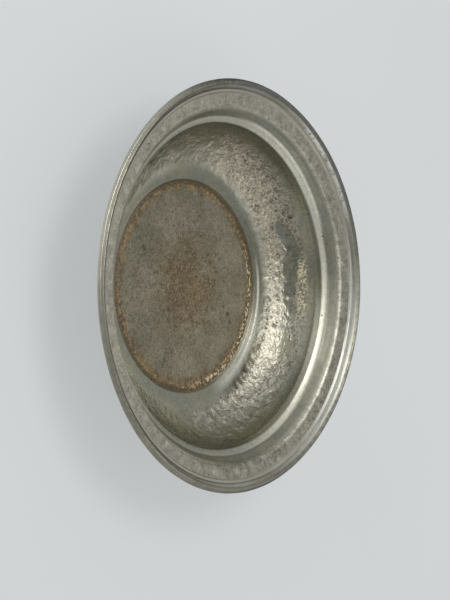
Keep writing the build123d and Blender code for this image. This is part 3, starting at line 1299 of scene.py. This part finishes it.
    def material(self) -> bpy.types.Material:
        """Hammered pewter, with its bands at the section's own radii."""
        s = self.section
        finish = HammeredPewter(
            ledge_radius=s["ledge_inner"].x,
            line_radius=self.line_radius - self.line_offset,
            wall_radius=s["ledge_outer"].x,
            mouth_radius=s["mouth"].x,
            bead_inner=s["bead_inner"].x,
            bead_outer=s["bead_outer"].x,
            brim_radius=s["brim_inner"].x,
        )
        return finish.material()


class ReededRim(Piece):
    """The drawn moulding that caps the brim's edge, with a groove between its two reeds."""

    node = "rim_moulding"
    slot = "rim_pewter"
    steps = 720
    ripple = 0.05
    ripple_size = 9.0
    swell = 0.20
    wear = 0.6
    least_wear = 0.05
    fade = 0.8
    sharp_angle = 38

    def model(self) -> bpy.types.Object:
        """Spins the section and wears it a little uneven."""
        s = self.section
        path = Outline(s["foot"])
        path.line(s["solder_high"], 3)
        path.bulge(s["crest_start"], self.swell, 7)
        path.arc(s["crest_end"], s["crest"], 8)
        along = (s["lip_start"] - s["crest_end"]).normalized()
        path.line(s["groove"] - along * s.groove_radius, 2)
        inward = Vector((along.y, -along.x))
        path.arc(s["groove"] + inward * s.groove_radius, s["groove"], 3)
        path.arc(s["groove"] + along * s.groove_radius, s["groove"], 3)
        path.line(s["lip_start"], 2)
        path.arc(s["lip_end"], s["lip"], 7)
        path.line(s["seam_outer"], 3)
        path.line(s["seam_top"])
        path.line(s["brim_edge"])
        path.line(s["foot"])
        piece = turned("reeded_rim", path, self.steps, self.sharp_angle)
        places = []
        for point, normal in places_and_normals(piece):
            inset = min(noise.noise(point / (self.ripple_size * MM)) - self.wear, -self.least_wear)
            free = min(1, max(0, (math.hypot(point.x, point.y) / MM - s["solder_high"].x) / self.fade))
            places.append(point + normal * inset * free * self.ripple * MM)
        place_all(piece, places)
        return piece

    def material(self) -> bpy.types.Material:
        """Rim pewter, with its worn and tarnished sides."""
        s = self.section
        return RimPewter(s["crest"].x, s["foot"].x).material()


class SolderRidge(Piece):
    """The bead of solder along the moulding's foot."""

    node = "rim_solder_bead"
    slot = "solder"
    steps = 720
    ridge_blend = 0.5
    coarse = 9
    fine = 3
    lumps = 0.04
    sharp_angle = 50

    def model(self) -> bpy.types.Object:
        """Spins a rounded ridge and makes it lumpy."""
        s = self.section
        path = Outline(s["foot"])
        path.line(s["solder_low"])
        path.corner(s["solder_ridge"], s["solder_high"], self.ridge_blend, rings=5, before=3)
        path.line(s["solder_high"], 3)
        path.line(s["foot"])
        piece = turned("solder_ridge", path, self.steps, self.sharp_angle)
        places = []
        for point, normal in places_and_normals(piece):
            lump = noise.noise(point / (self.coarse * MM)) * 0.7
            lump = lump + noise.noise(point / (self.fine * MM)) * 0.3 - 0.3
            places.append(point + normal * lump * self.lumps * MM)
        place_all(piece, places)
        return piece

    def material(self) -> bpy.types.Material:
        """Solder."""
        return SolderMetal("solder").material()


class SolderSeam(Piece):
    """The seam of solder under the brim, at the cut edge of the sheet."""

    node = "rim_solder_seam"
    slot = "solder"
    steps = 480
    sharp_angle = 50

    def model(self) -> bpy.types.Object:
        """Spins the seam's small three-cornered section."""
        s = self.section
        path = Outline(s["edge_low"])
        path.line(s["seam_outer"], 2)
        path.line(s["seam_top"])
        path.line(s["edge_low"], 2)
        return turned("solder_seam", path, self.steps, self.sharp_angle)

    def material(self) -> bpy.types.Material:
        """Solder, of the seam's own."""
        return SolderMetal("solder_seam").material()


class MattDisc(Piece):
    """The thin disc that lines the floor."""

    node = "centre_disc"
    slot = "lining"
    steps = 400
    edge_blend = 0.12
    middle_ring = 2
    cockle = 0.05
    cockle_size = 9
    sharp_angle = 50

    def model(self) -> bpy.types.Object:
        """Spins the disc and lets it cockle a little."""
        low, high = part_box(self.node)
        radius, bottom, top = high.x / MM, low.z / MM, high.z / MM
        path = Outline(Vector((0, bottom)))
        path.line(Vector((radius, bottom)), 3)
        path.corner(Vector((radius, top)), Vector((0, top)), self.edge_blend, before=2)
        path.line(Vector((self.middle_ring, top)), 40)
        path.line(Vector((0, top)))
        piece = turned("matt_disc", path, self.steps, self.sharp_angle)
        places = []
        for point, _ in places_and_normals(piece):
            if point.z > top * MM * 0.95:
                point.z += (noise.noise(point / (self.cockle_size * MM)) - 0.5) * self.cockle * MM
            places.append(point)
        place_all(piece, places)
        return piece

    def material(self) -> bpy.types.Material:
        """The stained lining."""
        return LiningStain("lining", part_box(self.node)[1].x / MM).material()


class BrownCrust(Piece):
    """The bed of old adhesive, squeezed out round the disc as a grainy brown lip."""

    node = "adhesive_bed"
    slot = "adhesive"
    steps = 720
    sag = 0.1
    lumps = 0.3
    coarse = 1.3
    fine = 0.6
    margin = 0.05
    sharp_angle = 60

    def model(self) -> bpy.types.Object:
        """Spins the bed and roughens its lip."""
        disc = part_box("centre_disc")
        disc_low, disc_high = disc[0] / MM, disc[1] / MM
        floor = self.section.sheet
        path = Outline(Vector((0, floor)))
        path.line(Vector((self.section["floor_edge"].x, floor)), 3)
        path.line(Vector((disc_high.x, disc_high.z - self.sag)), 5)
        path.line(Vector((disc_high.x, disc_low.z)), 2)
        path.line(Vector((0, disc_low.z)))
        piece = turned("brown_crust", path, self.steps, self.sharp_angle)
        places = []
        for point, normal in places_and_normals(piece):
            outside = math.hypot(point.x, point.y) / MM > disc_high.x + self.margin
            if outside and point.z > (floor + self.margin) * MM:
                lump = noise.noise(point / (self.coarse * MM)) * 0.6
                lump = lump + noise.noise(point / (self.fine * MM)) * 0.4
                point += normal * lump * self.lumps * MM
            places.append(point)
        place_all(piece, places)
        return piece

    def material(self) -> bpy.types.Material:
        """The stain of the disc's edge, carried on."""
        return LiningStain("adhesive_crust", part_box("centre_disc")[1].x / MM).material()


# ---------------------------------------------------------------------------
# Studio
# ---------------------------------------------------------------------------

@dataclass(frozen=True)
class Lamp:
    """A soft area lamp aimed at the dish: where it stands, its two sides, its radiance and colour."""

    name: str
    towards: tuple[float, float, float]
    distance: float
    sides: tuple[float, float]
    radiance: float
    colour: Colour = (1.0, 1.0, 1.0)

    def add(self, target: Vector) -> bpy.types.Object:
        """Hangs the lamp.

        Args:
            target: The point that it faces.

        Returns:
            The lamp.
        """
        data = bpy.data.lights.new(self.name, "AREA")
        data.shape = "RECTANGLE"
        data.size, data.size_y = self.sides
        data.energy = self.radiance * 4 * self.sides[0] * self.sides[1]
        data.color = self.colour
        lamp = bpy.data.objects.new(self.name, data)
        bpy.context.scene.collection.objects.link(lamp)
        away = Vector(self.towards).normalized()
        lamp.location = target + away * self.distance
        lamp.rotation_euler = away.to_track_quat("Z", "Y").to_euler()
        return lamp


@dataclass(frozen=True)
class Glow:
    """A soft brighter or darker part of the surroundings.

    Attributes:
        towards: Direction of its middle.
        edge: Cosine of the angle from the middle at which it has faded out.
        middle: Cosine of the angle within which it is full.
        colour: Its radiance.
        strength: How far it replaces what is behind it.
    """

    towards: tuple[float, float, float]
    edge: float
    middle: float
    colour: Colour
    strength: float


class Studio:
    """Camera, floor, lamps and surroundings."""

    eye = Vector((0.0037, -0.5600, 0.4826))
    look = Vector((0.0033, 0.7736, -0.6337))
    upward = Vector((-1.0, 0.0, -0.0052))
    lens = 99.0
    sensor_width = 36.0
    floor_size = 8.0
    paper = (0.66, 0.683, 0.69)
    paper_glow = 0.68
    paper_level = 0.95
    paper_cloud = 260
    horizon = (0.50, 0.51, 0.52)
    zenith = (0.66, 0.67, 0.68)
    ground = (0.5, 0.5, 0.5)
    lamps = (
        Lamp("key", (-0.39, -0.08, 0.92), 1.1, (0.55, 0.55), 4.2, (1.0, 0.985, 0.95)),
        Lamp("fill", (0.62, 0.25, 0.74), 1.3, (0.9, 0.9), 0.5, (0.95, 0.98, 1.0)),
    )
    glows = (
        Glow((0.0, -0.774, 0.634), 0.80, 0.97, (0.22, 0.22, 0.22), 0.75),
        Glow((-0.45, -0.87, 0.20), 0.84, 0.96, (0.92, 0.91, 0.88), 0.95),
        Glow((0.10, 0.97, 0.22), 0.80, 0.97, (0.70, 0.70, 0.70), 0.90),
        Glow((0.30, 0.50, 0.81), 0.86, 0.97, (0.50, 0.50, 0.50), 0.80),
    )

    def camera(self) -> bpy.types.Object:
        """Sets the camera up.

        Returns:
            The camera.
        """
        data = bpy.data.cameras.new("camera")
        data.lens = self.lens
        data.sensor_width = self.sensor_width
        data.clip_start = 0.01
        camera = bpy.data.objects.new("camera", data)
        bpy.context.scene.collection.objects.link(camera)
        back = -self.look.normalized()
        side = self.upward.cross(back).normalized()
        axes = Matrix((side, back.cross(side), back)).transposed()
        camera.matrix_world = Matrix.Translation(self.eye) @ axes.to_4x4()
        bpy.context.scene.camera = camera
        return camera

    def floor(self) -> bpy.types.Object:
        """Lays a pale paper floor under the dish.

        Returns:
            The floor.
        """
        bpy.ops.object.select_all(action="DESELECT")
        bpy.ops.mesh.primitive_plane_add(size=self.floor_size, location=(0, 0, 0))
        floor = bpy.context.object
        floor.name = "paper_floor"
        s = Surface("paper")
        cloud = s.grain(self.paper_cloud, detail=2)
        darker = tuple(0.97 * part for part in self.paper)
        colour = s.blend(cloud.above(0.3, 0.7), self.paper, darker)
        light = s.node("ShaderNodeLightPath").socket.node
        kinds = ("Camera", "Glossy", "Transmission")
        camera, glossy, through = (Term(s, light.outputs[f"Is {kind} Ray"]) for kind in kinds)
        seen = (camera + glossy + through) * self.paper_glow
        glow = s.shade(colour, seen * self.paper_level)
        inputs = {"Base Color": s.shade(colour, 1 - seen), "Roughness": 0.85}
        inputs |= {"Emission Color": glow, "Emission Strength": 1.0}
        floor.data.materials.append(s.finish(inputs, s.grain(1.5, detail=2), 0.01))
        return floor

    def world(self) -> None:
        """Surrounds the dish with soft grey light, brighter overhead and darker behind the camera."""
        world = bpy.data.worlds.new("surroundings")
        bpy.context.scene.world = world
        tree = ShaderTree(world)
        towards = tree.node("ShaderNodeTexCoord", output=0)
        parts = tree.node("ShaderNodeSeparateXYZ", {}, {0: towards}).socket.node
        x, y, z = (Term(tree, socket) for socket in parts.outputs)
        colour = tree.blend(z.above(-0.1, 0.9), self.horizon, self.zenith)
        for glow in self.glows:
            across, along, up = Vector(glow.towards).normalized()
            near = (x * across + y * along + z * up).above(glow.edge, glow.middle)
            colour = tree.blend(near * glow.strength, colour, glow.colour)
        colour = tree.blend(z.above(0.0, -0.1), colour, self.ground)
        background = tree.node("ShaderNodeBackground", {}, {"Color": colour, "Strength": 1.0})
        tree.node("ShaderNodeOutputWorld", {}, {"Surface": background})

    def build(self, target: Vector) -> None:
        """Sets the whole studio up.

        Args:
            target: The point that the lamps face.
        """
        self.camera()
        self.floor()
        self.world()
        for lamp in self.lamps:
            lamp.add(target)
        bpy.context.scene.view_settings.view_transform = "Standard"


def main() -> None:
    """Builds the studio and every piece of the plate."""
    logging.basicConfig(level=logging.INFO, format="%(name)s: %(message)s")
    bpy.context.preferences.edit.use_global_undo = False
    rim_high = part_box("rim_moulding")[1] / MM
    section = PlateSection(outer_radius=rim_high.x, height=rim_high.z)
    Studio().build(target=Vector((0, 0, rim_high.z * MM)))
    for kind in (RaisedShell, ReededRim, SolderRidge, SolderSeam, MattDisc, BrownCrust):
        kind(section).build()


if __name__ == "__main__":
    main()
